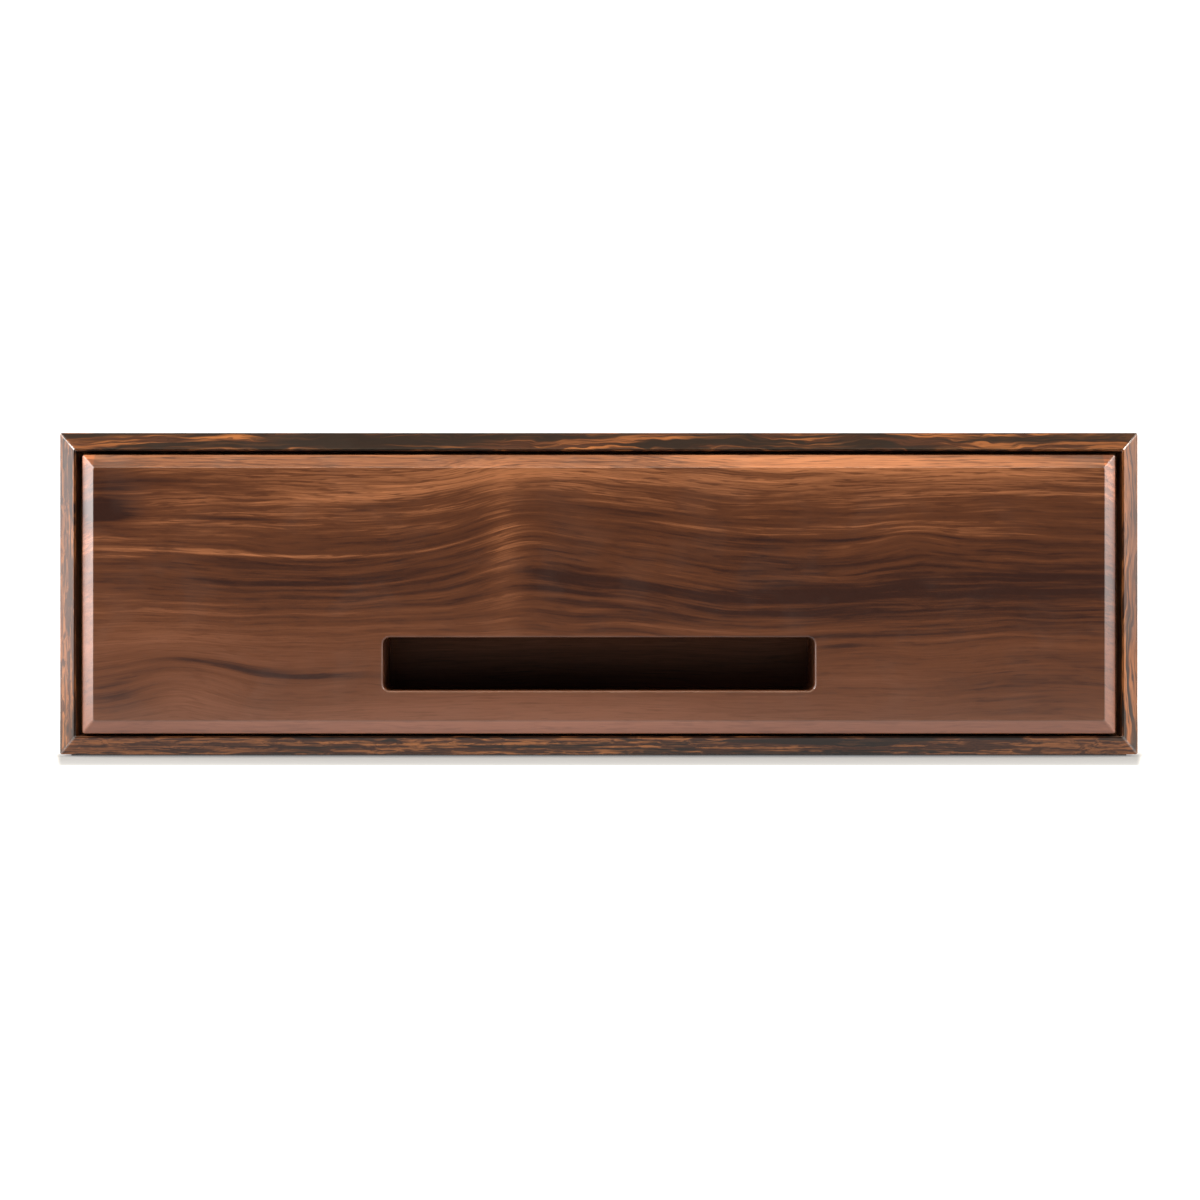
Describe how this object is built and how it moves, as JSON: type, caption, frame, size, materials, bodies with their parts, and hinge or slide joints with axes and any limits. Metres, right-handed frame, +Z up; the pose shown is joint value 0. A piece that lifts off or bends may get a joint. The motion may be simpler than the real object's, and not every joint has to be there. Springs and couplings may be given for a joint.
{
  "type": "cigar humidor",
  "caption": "Low desktop humidor: mitred glossy hardwood case, bevelled walnut drawer with finger slot, cedar lining, humidifier, hygrometer and sliding dividers.",
  "frame": {"origin": "middle of the base, on the surface that it stands on", "axes": "+Z up, the drawer front faces -Y, +X to the right as seen from the front"},
  "size_m": [0.474, 0.3, 0.1422],
  "materials": {
    "case_wood": "high gloss lacquer over dark streaked hardwood",
    "walnut": "smooth satin oil and lacquer",
    "cedar": "bare planed wood",
    "runner_wood": "waxed",
    "brass": "polished",
    "screw_brass": "satin",
    "steel": "ground",
    "magnet_plate": "nickel plated",
    "coil_metal": "rolled ribbon",
    "seal_felt": "pressed felt",
    "base_felt": "pressed felt",
    "black_plastic": "fine spark texture",
    "sponge": "open cell foam",
    "dial_paint": "matt enamel",
    "needle_paint": "satin",
    "glass": "polished"
  },
  "bodies": {
    "case": {"case_top": "case_wood", "case_bottom": "case_wood", "case_left": "case_wood", "case_right": "case_wood", "case_back": "case_wood", "mitre_splines": "case_wood", "lining_top": "cedar", "lining_bottom": "cedar", "lining_left": "cedar", "lining_right": "cedar", "lining_back": "cedar", "runner_left": "runner_wood", "runner_right": "runner_wood", "front_seal": "seal_felt", "stop_rail": "cedar", "catch_magnets": "magnet_plate", "base_felt": "base_felt"},
    "drawer": {"drawer_front": "walnut", "pull_cup": "walnut", "drawer_inner_front": "cedar", "drawer_side_left": "cedar", "drawer_side_right": "cedar", "drawer_back": "cedar", "drawer_bottom": "cedar", "deck_wall": "cedar", "instrument_deck": "cedar", "deck_cleats": "cedar", "front_screws": "screw_brass", "strike_plates": "steel", "pivot_screw": "screw_brass", "humidifier_case": "black_plastic", "humidifier_sponge": "sponge", "hygrometer_case": "brass", "humidity_coil": "coil_metal", "hygrometer_dial": "dial_paint", "hygrometer_glass": "glass", "hygrometer_bezel": "brass"},
    "stop_button": {"stop_button": "brass"},
    "divider_left": {"divider_left": "cedar"},
    "divider_right": {"divider_right": "cedar"},
    "needle": {"hygrometer_needle": "needle_paint", "hygrometer_arbor": "steel"},
    "humidifier_cover": {"humidifier_cover": "black_plastic"},
    "humidifier_shutter": {"humidifier_shutter": "black_plastic"}
  },
  "joints": [
    {"name": "drawer_slide", "type": "slide", "parent": "case", "child": "drawer", "axis": [0, -1, 0], "range_m": [0, 0.2]},
    {"name": "stop_button_turn", "type": "hinge", "parent": "drawer", "child": "stop_button", "pos_m": [0, 0.1254, 0.1093], "axis": [0, 1, 0], "range_deg": [0, 90]},
    {"name": "divider_left_slide", "type": "slide", "parent": "drawer", "child": "divider_left", "axis": [1, 0, 0], "range_m": [-0.115, 0.045]},
    {"name": "divider_right_slide", "type": "slide", "parent": "drawer", "child": "divider_right", "axis": [1, 0, 0], "range_m": [-0.045, 0.115]},
    {"name": "humidifier_cover_lift", "type": "slide", "parent": "drawer", "child": "humidifier_cover", "axis": [0, 0, 1], "range_m": [0, 0.01]},
    {"name": "humidifier_shutter_slide", "type": "slide", "parent": "humidifier_cover", "child": "humidifier_shutter", "axis": [1, 0, 0], "range_m": [0, 0.006]},
    {"name": "needle_turn", "type": "hinge", "parent": "drawer", "child": "needle", "pos_m": [0.1307, -0.103, 0.1048], "axis": [0, 0, 1], "range_deg": [-81, 189]}
  ]
}
